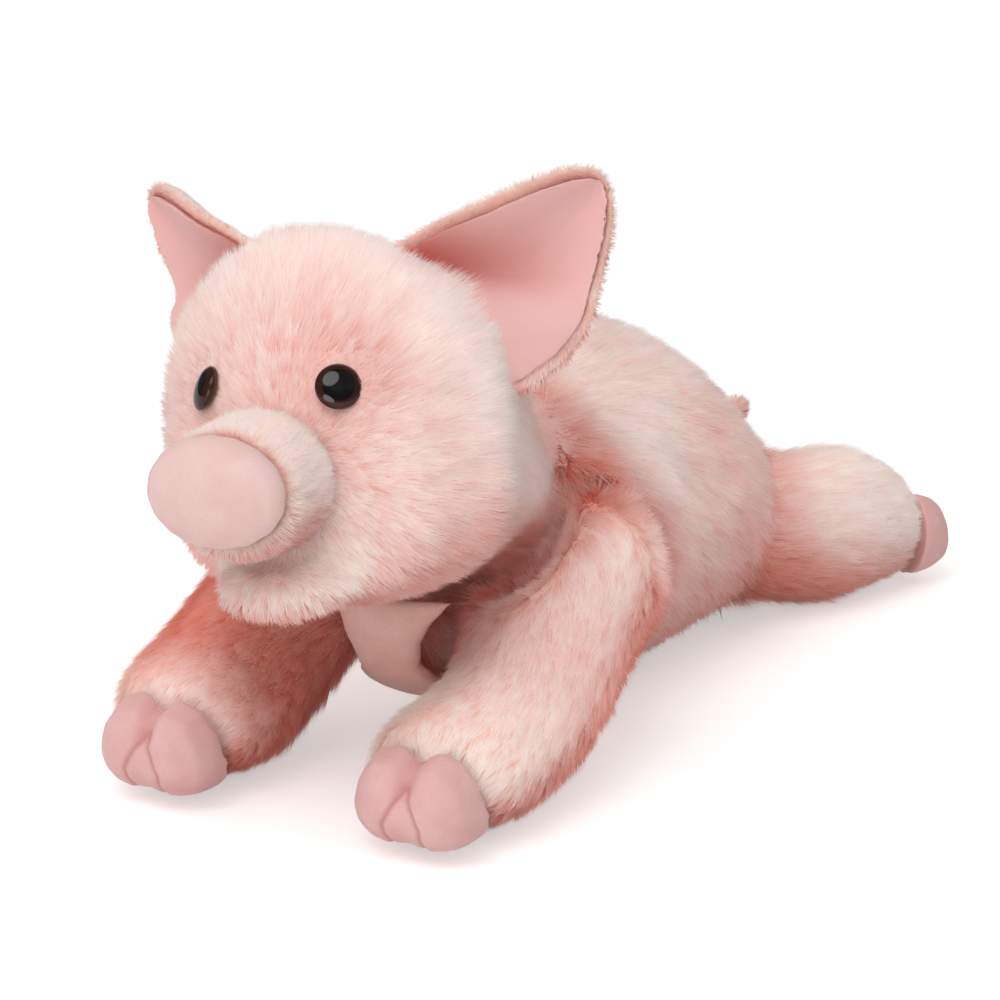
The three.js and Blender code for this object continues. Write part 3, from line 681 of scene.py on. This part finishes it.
# Each line's points across, ahead and up from the hoof's middle, in shares of its half sizes.
CLEFT_LINE = np.array([(0, -0.6, 1), (0, 0.3, 0.85), (0, 0.8, 0.45)])
SEAM_LINE = np.array([(0, 0.85, 0.4), (0.16, 1, 0.05), (0.3, 1, -0.35), (0.26, 0.9, -0.9)])


def distance_to_line(points, line):
    """How far each point is from a line through a row of points."""
    nearest = np.full(len(points), np.inf)
    for start, end in zip(line[:-1], line[1:]):
        along = end - start
        share = np.clip((points - start) @ along / (along @ along), 0, 1)
        beside = np.linalg.norm(points - start - share[:, None] * along, axis=1)
        nearest = np.minimum(nearest, beside)
    return nearest


def press(form, distances, depth, width, stitched, facing=None):
    """Presses a form in along a line, from each vertex's distance to it, and marks its
    seam there. Facing keeps it to the side that looks that way."""
    normals = normals_of(form)
    amount = np.exp(-(distances / width) ** 2)
    if facing is not None:
        amount *= np.clip(4 * (normals @ facing), 0, 1)
    move_corners(form, corners_of(form) - normals * depth * amount[:, None])
    attributes = form.data.attributes
    seam = attributes.get("seam") or attributes.new("seam", "FLOAT", "POINT")
    marks = np.empty(len(amount), np.float32)
    seam.data.foreach_get("value", marks)
    marks = np.maximum(marks, stitched * amount ** 2)
    seam.data.foreach_set("value", marks.astype(np.float32))


hoof_velour = make_velour("pink hoof velour", "F4C7C3", "EBB5B1", "CF8D89")
for leg in LEGS:
    toes = [f"{leg}_hoof_outer_toe", f"{leg}_hoof_inner_toe"]
    hoof = velour_piece(
        f"{leg}_hoof", toes, f"{leg}_leg", HOOF_CELL, hoof_velour, smoothing=14,
    )
    finish_modifier(hoof, "SUBSURF", levels=1)
    points = corners_of(hoof)
    middle = (points.min(axis=0) + points.max(axis=0)) / 2
    ahead = middle - np.array(joint_of(f"{leg}_leg")["pos_m"])
    ahead[2] = 0
    ahead /= np.linalg.norm(ahead)
    across = np.cross(ahead, UP)
    half_sizes = np.array([np.ptp(points @ way) / 2 * way for way in (across, ahead, UP)])
    cleft = middle + CLEFT_LINE @ half_sizes
    press(hoof, distance_to_line(points, cleft), CLEFT_DEPTH, CLEFT_WIDTH, stitched=0.5)
    flat = np.array([across, UP]).T
    for outward in (-1, 1):
        seam = middle + (SEAM_LINE * [outward, 1, 1]) @ half_sizes
        from_seam = distance_to_line(corners_of(hoof) @ flat, seam @ flat)
        press(hoof, from_seam, SEAM_DEPTH, SEAM_WIDTH, stitched=0.8, facing=ahead)

# Head pile. Fine acrylic fibres knitted into the backing, peach at the root and
# cream at the tip, brushed away from the snout so that they lie in soft locks.

HEAD_STRANDS = 150000
STRAND_WIDTH = 0.55 * MM  # at the root, where a few real fibres cling together
STRAND_KEEL = 0.7  # its depth below, in half widths
STRAND_FACES = np.array([0, 1, 3, 1, 2, 3, 2, 0, 3])  # corners of its top and two sides
STRAND_SUNK = 0.4 * MM  # in the backing
LENGTH_RANGE = (0.7, 1.15)  # of single strands, to their piece's own figures
WIDTH_RANGE = (0.7, 1.3)
RISE_RANGE = (0.4, 1.5)
PULL_RANGE = (0.4, 1)
MAP_ACROSS = np.array([-0.004, 0.004, 0, 0])  # the four corners on a strand's map
MAP_UP = np.array([0.02, 0.02, 0.02, 0.98])
STRAND_RISE = 0.3
LIFT = 0.5  # how much more the pile stands up where it meets a neighbour
FLOOR_REST = 0.3 * MM  # of the pile that the floor presses
STRANDS_PER_LOCK = 26
COMB_SPREAD = 0.2
LOCK_TINT = 0.07  # how much the dye differs between locks, and between strands
STRAND_TINT = 0.08
LOCK_LEAN = 0.1  # how much their shading differs
STRAND_LEAN = 0.08
SKYWARD = (0, 0, 0.3)  # how much they all take the light from above
MOST_STRANDS = 60000  # in one piece
FOLD_REACH = 22 * MM  # of the painted shade, a deeper pink, in the folds between pieces
# painted shade: how much deeper pink the pile takes in a fold, and on its undersides
FOLD_PAINTED_SHADE = 0.5
UNDERSIDE_PAINTED_SHADE = 0.7
FOLDING = {"torso_cover", "head_cover", *(f"{leg}_leg_cover" for leg in LEGS)}
PRESSED_GAP = 2.5 * MM  # from a backing to what presses its pile flat
CREAM_RAMP = ("E7C5B9", "F1E0D9", "F8F2EF")  # at the root, in the middle and at the tip
# The rose ramp carries the uneven dye and the painted shade alike.
ROSE_RAMP = ("CB5F50", "DF8575", "EDB0A0")
BROW = np.mean(eye_centres, axis=0) + np.array([0, 10, 22]) * MM
CHEEKS = [snout_centre + np.array([outward * 48, 45, 5]) * MM for outward in (-1, 1)]


def make_pile():
    """Dull acrylic fibre: cream or rose across its map, and paler from root to tip up it."""
    material = new_material("silky acrylic pile")
    place = add_node(material, "ShaderNodeUVMap", uv_map="OFBake")
    shares = add_node(material, "ShaderNodeSeparateXYZ", {"Vector": place.outputs["UV"]})
    ramps = []
    for root, middle, tip in (CREAM_RAMP, ROSE_RAMP):
        ramp = add_node(material, "ShaderNodeValToRGB", {"Fac": shares.outputs["Y"]})
        ramp.color_ramp.elements[0].color = linear(root)
        ramp.color_ramp.elements[1].position = 0.9
        ramp.color_ramp.elements[1].color = linear(tip)
        ramp.color_ramp.elements.new(0.42).color = linear(middle)
        ramps.append(ramp.outputs["Color"])
    colour = add_node(
        material, "ShaderNodeMix",
        {"Factor": shares.outputs["X"], MIX_A: ramps[0], MIX_B: ramps[1]},
        data_type="RGBA",
    )
    shader = add_node(
        material, "ShaderNodeBsdfPrincipled", {"Base Color": colour.outputs[MIXED]},
        Roughness=0.9, Specular_IOR_Level=0,
    )
    add_node(material, "ShaderNodeOutputMaterial", {"Surface": shader.outputs[0]})
    return material


pile = make_pile()


def unit(vectors):
    """Vectors of length 1."""
    return vectors / np.maximum(np.linalg.norm(vectors, axis=1, keepdims=True), 1e-9)


def ease(value, low, high):
    """0 below low, 1 above high, and smooth between them."""
    share = np.clip((value - low) / (high - low), 0, 1)
    return share * share * (3 - 2 * share)


def distance(points, place):
    """How far each point is from a place."""
    return np.linalg.norm(points - place, axis=1)


def nearness(points, place, radius):
    """1 at a place, fading to 0 beyond a radius from it."""
    return np.exp(-(distance(points, place) / radius) ** 2)


def patches(points, size, seed):
    """Smooth random patches of that size, from -0.5 to 0.5."""
    draw = np.random.default_rng(seed)
    waves = (
        np.sin(points @ (draw.normal(size=3) / size) + draw.uniform(0, 2 * math.pi))
        for _ in range(8)
    )
    return np.clip(0.5 + sum(waves) / 8, 0, 1) - 0.5


def spread_roots(form, count, seed):
    """Places spread evenly over a form, and its smooth normals there."""
    mesh = form.data
    mesh.calc_loop_triangles()
    places, normals = corners_of(form), normals_of(form)
    corners = np.empty(len(mesh.loop_triangles) * 3, np.int32)
    mesh.loop_triangles.foreach_get("vertices", corners)
    corners = corners.reshape(-1, 3)
    a, b, c = (places[corners[:, k]] for k in range(3))
    edges = np.cumsum(np.linalg.norm(np.cross(b - a, c - a), axis=1))
    draw = np.random.default_rng(seed)
    steps = (np.arange(count) + draw.uniform(size=count)) / count
    chosen = corners[np.minimum(np.searchsorted(edges, steps * edges[-1]), len(edges) - 1)]
    first, second = draw.uniform(size=(2, count, 1))
    over = first + second > 1
    first, second = np.where(over, 1 - first, first), np.where(over, 1 - second, second)
    shares = [1 - first - second, first, second]
    points = sum(share * places[chosen[:, k]] for k, share in enumerate(shares))
    return points, unit(sum(share * normals[chosen[:, k]] for k, share in enumerate(shares)))


def joint_turns(body, other):
    """The turns that take a place on one body to the other's frame, at rest and at the
    limits of the joint between them."""
    for joint in frame["joints"]:
        if {joint["parent"], joint["child"]} == {body, other}:
            sign = 1 if joint["child"] == body else -1
            pivot, axis = Vector(joint["pos_m"]), Vector(joint["axis"])
            there, back = Matrix.Translation(pivot), Matrix.Translation(-pivot)
            return [
                np.array(there @ Matrix.Rotation(sign * math.radians(angle), 4, axis) @ back)
                for angle in (0, *joint["range_deg"])
            ]
    return [np.eye(4)]


def near_box(points, low, high, reach):
    """Which points are inside a box or within a reach of it."""
    return ((points > low - reach) & (points < high + reach)).all(axis=1)


def pressed(points, normals, body, neighbour, other, gap=PRESSED_GAP):
    """Which roots the neighbour covers closely, however the two are turned."""
    tree, low, high = shapes[neighbour]
    hidden = np.ones(len(points), bool)
    for turn in joint_turns(body, other):
        moved = points @ turn[:3, :3].T + turn[:3, 3]
        facing = normals @ turn[:3, :3].T
        now = np.zeros(len(points), bool)
        for i in np.flatnonzero(near_box(moved, low, high, gap) & hidden):
            now[i] = tree.ray_cast(Vector(moved[i]), Vector(facing[i]), gap)[0] is not None
        hidden &= now
    return hidden


def height_over(points, neighbour, most):
    """How far outside a neighbour each root is, up to a most, and below 0 inside it."""
    tree, low, high = shapes[neighbour]
    heights = np.full(len(points), most)
    for i in np.flatnonzero(near_box(points, low, high, most)):
        place, normal, _, _ = tree.find_nearest(Vector(points[i]))
        outward = Vector(points[i]) - place
        heights[i] = min(most, math.copysign(outward.length, outward.dot(normal)))
    return heights


def lay_strands(name, body, points, normals, comb, lengths, blush, seed, width, rise, lock):
    """Flat strands that taper to a tip, each with a top and two sides below.

    They lie over along the comb and lean into their locks, and are shaded as the
    skin under them faces, so that they show as one soft coat."""
    draw = np.random.default_rng(seed)
    count = len(points)
    comb = unit(comb - (comb * normals).sum(axis=1, keepdims=True) * normals)
    comb = unit(comb + draw.normal(0, COMB_SPREAD, (count, 1)) * np.cross(comb, normals))
    reach = (lengths * draw.uniform(*LENGTH_RANGE, count))[:, None]
    stand = rise[:, None] * draw.uniform(*RISE_RANGE, (count, 1))
    tips = points + reach * unit(comb + stand * normals)

    heads = draw.choice(count, max(1, count // STRANDS_PER_LOCK), replace=False)
    tree = KDTree(len(heads))
    for i, strand in enumerate(heads):
        tree.insert(Vector(points[strand]), i)
    tree.balance()
    locks = np.array([tree.find(Vector(point))[1] for point in points])
    pull = lock * draw.uniform(*PULL_RANGE, (count, 1))
    tips += pull * (tips[heads[locks]] - tips)

    half = 0.5 * width * draw.uniform(*WIDTH_RANGE, (count, 1))
    side = half * unit(np.cross(normals, tips - points))
    roots = points - STRAND_SUNK * normals
    keel = roots - STRAND_KEEL * half * normals
    corners = np.stack([roots + side, roots - side, keel, tips], axis=1).astype(np.float32)
    corners[:, :, 2] = np.maximum(corners[:, :, 2], FLOOR_REST)

    loops = (4 * np.arange(count)[:, None] + STRAND_FACES).ravel().astype(np.int32)
    mesh = bpy.data.meshes.new(name)
    mesh.vertices.add(4 * count)
    mesh.vertices.foreach_set("co", corners.ravel())
    mesh.loops.add(9 * count)
    mesh.loops.foreach_set("vertex_index", loops)
    mesh.polygons.add(3 * count)
    mesh.polygons.foreach_set("loop_start", np.arange(0, 9 * count, 3, dtype=np.int32))
    mesh.polygons.foreach_set("loop_total", np.full(3 * count, 3, np.int32))

    lock_tint = draw.normal(0, LOCK_TINT, len(heads))[locks]
    tint = np.clip(blush + lock_tint + draw.normal(0, STRAND_TINT, count), 0.01, 0.99)
    place = np.empty((count, 4, 2))
    place[:, :, 0] = tint[:, None] + MAP_ACROSS
    place[:, :, 1] = MAP_UP
    layer = mesh.uv_layers.new(name="OFBake")
    layer.data.foreach_set("uv", place.reshape(-1, 2)[loops].astype(np.float32).ravel())
    mesh.update()

    mesh.polygons.foreach_set("use_smooth", np.tile([True, False, False], count))
    leaning = draw.normal(0, LOCK_LEAN, (len(heads), 3))[locks]
    leaning = leaning + draw.normal(0, STRAND_LEAN, (count, 3))
    facing = np.zeros((count, 9, 3))  # 0 keeps the true normals of the two sides below
    facing[:, :3] = unit(normals + leaning + SKYWARD)[:, None]
    mesh.normals_split_custom_set(facing.reshape(-1, 3))
    fur = bpy.data.objects.new(name, mesh)
    bpy.context.scene.collection.objects.link(fur)
    mesh.materials.append(pile)
    fur.visible_shadow = False
    fur.cycles.shadow_terminator_geometry_offset = 0  # their normals are the skin's
    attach(fur, body)


def grow(
    name, form, body, count, comb, lengths, blush, seed, under=(), clear=(),
    width=STRAND_WIDTH, rise=STRAND_RISE, lock=0.45, fold=FOLD_REACH,
):
    """Fur over a form. Under names what presses on it, with its body and its own gap,
    and clear what it only meets, with how far outside that its roots stay."""
    points, normals = spread_roots(form, count, seed)
    # painted shade: a deeper pink on the undersides and in the folds by neighbours
    folded = UNDERSIDE_PAINTED_SHADE * ease(-normals[:, 2], -0.35, 0.75)
    keep = np.ones(count, bool)
    lift = np.full(count, float(rise))
    for neighbour, margin in clear:
        heights = height_over(points, neighbour, fold)
        keep &= heights > margin
        if neighbour in FOLDING:
            folded += FOLD_PAINTED_SHADE * (1 - ease(heights, 0, fold))
            lift += LIFT * (1 - ease(heights, 0.1 * fold, 0.6 * fold))
    for neighbour in under:
        keep[keep] = ~pressed(points[keep], normals[keep], body, *neighbour)
    points, normals, folded, lift = points[keep], normals[keep], folded[keep], lift[keep]
    order = np.argsort(points[:, 0])
    pieces = max(1, math.ceil(len(order) / MOST_STRANDS))
    for k, part in enumerate(np.array_split(order, pieces)):
        roots = points[part]
        lay_strands(
            f"{name}_{k}" if pieces > 1 else name, body, roots, normals[part],
            comb(roots), lengths(roots), blush(roots) + folded[part],
            seed + 100 + k, width, lift[part], lock,
        )


def head_comb(points):
    """Out from the face, and down the sides behind it."""
    outward = points - snout_centre - np.array([0, 20, 0]) * MM
    back = ease(points[:, 1] - snout_centre[1], 70 * MM, 105 * MM)
    sides = np.stack([np.sign(points[:, 0]) * back, 0 * back, -0.6 * back], axis=1)
    return unit(outward) + sides + np.array([0, 0.3, -0.12])


def head_lengths(points):
    """Short on the face, longer over the crown and the nape, and trimmed round the eyes."""
    from_snout = distance(points, snout_centre)
    cheek = 6.5 * ease(from_snout, 38 * MM, 75 * MM)
    nape = 4 * ease(from_snout, 85 * MM, 120 * MM)
    lengths = (6.5 + cheek + nape) * MM
    for centre in eye_centres:
        near = ease(distance(points, centre), 8 * MM, 20 * MM)
        lengths = np.minimum(lengths, (3.5 + 14 * near) * MM)
    return lengths


def head_blush(points):
    """Uneven dye, deeper on the brow, round the eyes and on the cheeks."""
    blush = 0.07 + 0.3 * patches(points, 17 * MM, seed=5)
    blush += 0.16 * nearness(points, BROW, 26 * MM)
    for centre in eye_centres:
        blush += 0.2 * nearness(points, centre, 20 * MM)
    for cheek in CHEEKS:
        blush += 0.15 * nearness(points, cheek, 22 * MM)
    return blush


grow(
    "head_fur", head, "head", HEAD_STRANDS, head_comb, head_lengths, head_blush, seed=1,
    under=[("torso_cover", "torso")],
    clear=[
        ("muzzle_cover", 0), ("snout", 0), ("ear_left_cover", 0), ("ear_right_cover", 0),
        ("torso_cover", 0.5 * MM),
    ],
)

# Muzzle pile. The same fibres clipped short, so that they stand round the snout as a soft ring,
# with painted shade in rose under it.

MUZZLE_STRANDS = 22000
CLIPPED_WIDTH = 0.42 * MM
CLIPPED_PILE = 5 * MM
SHORT_FOLD = 7 * MM  # of the painted shade in the narrow folds round the muzzle and the ears


def even(value):
    """One value for all the roots."""
    return lambda points: np.full(len(points), value)


def muzzle_painted_shade(points):
    """Pale above, and painted shade in rose from a little below the snout's middle."""
    return 0.2 * ease(snout_centre[2] - 10 * MM - points[:, 2], 0, 14 * MM) - 0.05


grow(
    "muzzle_fur", muzzle, "head", MUZZLE_STRANDS,
    lambda points: unit(points - snout_centre) + np.array([0, 0.8, 0]),
    even(CLIPPED_PILE), muzzle_painted_shade, seed=2,
    under=[("head_cover", "head", 3 * MM), ("snout", "head", 1.2 * MM)],
    clear=[("snout", -0.2 * MM), ("head_cover", 0)],
    width=CLIPPED_WIDTH, lock=0.25, fold=SHORT_FOLD,
)

# Torso pile. The longest fibres, brushed back from the face and down the
# flanks, with a deeper pink on the shoulders and the haunches.

TORSO_STRANDS = 125000
LONG_PILE = 14 * MM
LONG_LOCK = 0.55  # how far long strands lean into their locks
DYE_PATCH = 24 * MM
SHOULDERS = [np.array([outward * 50, -70, 85]) * MM for outward in (-1, 1)]
HAUNCHES = [np.array([outward * 60, 30, 55]) * MM for outward in (-1, 1)]


def torso_comb(points):
    """Back from the face, and down the flanks."""
    flank = ease(np.abs(points[:, 0]), 15 * MM, 50 * MM)
    down = np.stack([0 * flank, 0 * flank, 0.2 + 0.5 * flank], axis=1)
    return unit(points - snout_centre) - down


def torso_blush(points):
    """Uneven dye, and a deeper pink on the shoulders and the haunches."""
    blush = 0.1 + 0.35 * patches(points, DYE_PATCH, seed=6)
    for shoulder, haunch in zip(SHOULDERS, HAUNCHES):
        blush += 0.25 * nearness(points, shoulder, 34 * MM)
        blush += 0.15 * nearness(points, haunch, 40 * MM)
    return blush


grow(
    "torso_fur", torso, "torso", TORSO_STRANDS, torso_comb, even(LONG_PILE), torso_blush, seed=3,
    under=[
        ("head_cover", "head"), ("tail_cover", "tail"),
        *((f"{leg}_leg_cover", f"{leg}_leg") for leg in LEGS),
    ],
    clear=[
        ("head_cover", 1.5 * MM), ("chest_bib", 0.5 * MM),
        *((f"{leg}_leg_cover", 0.5 * MM) for leg in LEGS),
    ],
    lock=LONG_LOCK,
)

# Leg pile. Brushed along each limb towards its hoof and shorter near it, with painted shade in a
# deep rose on the inner faces of the forelegs, in the folds by the chest, and most on the right
# foreleg, under the head.

LEG_STRANDS = {"front": 48000, "rear": 36000}


def grow_leg(leg, seed):
    """The fur of one leg."""
    end, side = leg.split("_")
    toe_boxes = [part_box(f"{leg}_hoof_{toe}_toe") for toe in ("inner", "outer")]
    toe = np.mean(toe_boxes, axis=(0, 1))
    root = np.array(joint_of(f"{leg}_leg")["pos_m"]) * [0.5, 1, 0.8]

    def comb(points):
        """Away from the root's hidden side and towards the hoof."""
        return unit(points - root) + 0.6 * unit(toe - points)

    def lengths(points):
        """Short at the hoof and longer up the leg."""
        return (7 + 6 * ease(distance(points, toe), 20 * MM, 60 * MM)) * MM

    def blush(points):
        """Uneven dye, and painted shade in rose on a foreleg's inner face, most of all on the right
        one, under the head.
        """
        from_toe = distance(points, toe)
        share = 0.1 + 0.35 * patches(points, DYE_PATCH, seed=7)
        if end == "rear":
            return share
        # painted shade in the fold by the chest
        inward = ease(34 * MM - np.abs(points[:, 0]), 0, 24 * MM)
        if side == "right":
            # painted shadow of the head on the right foreleg
            chestward = ease(84 * MM + points[:, 0], 0, 26 * MM)
            share += 0.9 * ease(from_toe, 12 * MM, 55 * MM) * chestward
        return share + (0.1 + 0.8 * inward) * ease(from_toe, 34 * MM, 70 * MM)

    grow(
        f"{leg}_leg_fur", leg_covers[leg], f"{leg}_leg", LEG_STRANDS[end],
        comb, lengths, blush, seed,
        under=[("torso_cover", "torso"), (f"{leg}_hoof", f"{leg}_leg", 0.8 * MM)],
        clear=[("torso_cover", 0.5 * MM), ("head_cover", -PILE_DEPTH), (f"{leg}_hoof", 0.3 * MM)],
        lock=LONG_LOCK,
    )


for index, leg in enumerate(LEGS):
    grow_leg(leg, seed=10 + index)

# Tail pile. The fur fabric's fibres, clipped short so that the tail stays thin,
# and brushed back along its curl.

TAIL_STRANDS = 5000
TAIL_COMB = (0, 1, 0.1)

grow(
    "tail_fur", tail, "tail", TAIL_STRANDS, lambda points: np.tile(TAIL_COMB, (len(points), 1)),
    even(CLIPPED_PILE), even(0.3), seed=20,
    under=[("torso_cover", "torso")], rise=0.25, lock=0.3,
)

# Ear pile. A fine plush clipped close, which covers each ear's back and rim and
# leaves the lining free.

EAR_STRANDS = 30000
EAR_WIDTH = 0.38 * MM
EAR_PILE = 3.2 * MM
EAR_MIDDLE = 26 * MM  # from the pivot, along the seam and out


def ear_blush(points):
    """Nearly white, with faint uneven dye."""
    return 0.02 + 0.3 * patches(points, 14 * MM, seed=8)


for side in ("left", "right"):
    pivot, seam, out, faces = ear_directions(side)
    grow(
        f"ear_{side}_fur", ear_covers[side], f"ear_{side}", EAR_STRANDS,
        lambda points: 0.5 * unit(points - pivot - EAR_MIDDLE * (seam + out)) - faces,
        even(EAR_PILE), ear_blush, seed=30,
        clear=[(f"ear_{side}_face", -0.4 * MM), ("head_cover", 0)],
        width=EAR_WIDTH, lock=0.15, fold=SHORT_FOLD,
    )

# Last, the scene is brought up to date.

bpy.context.view_layer.update()
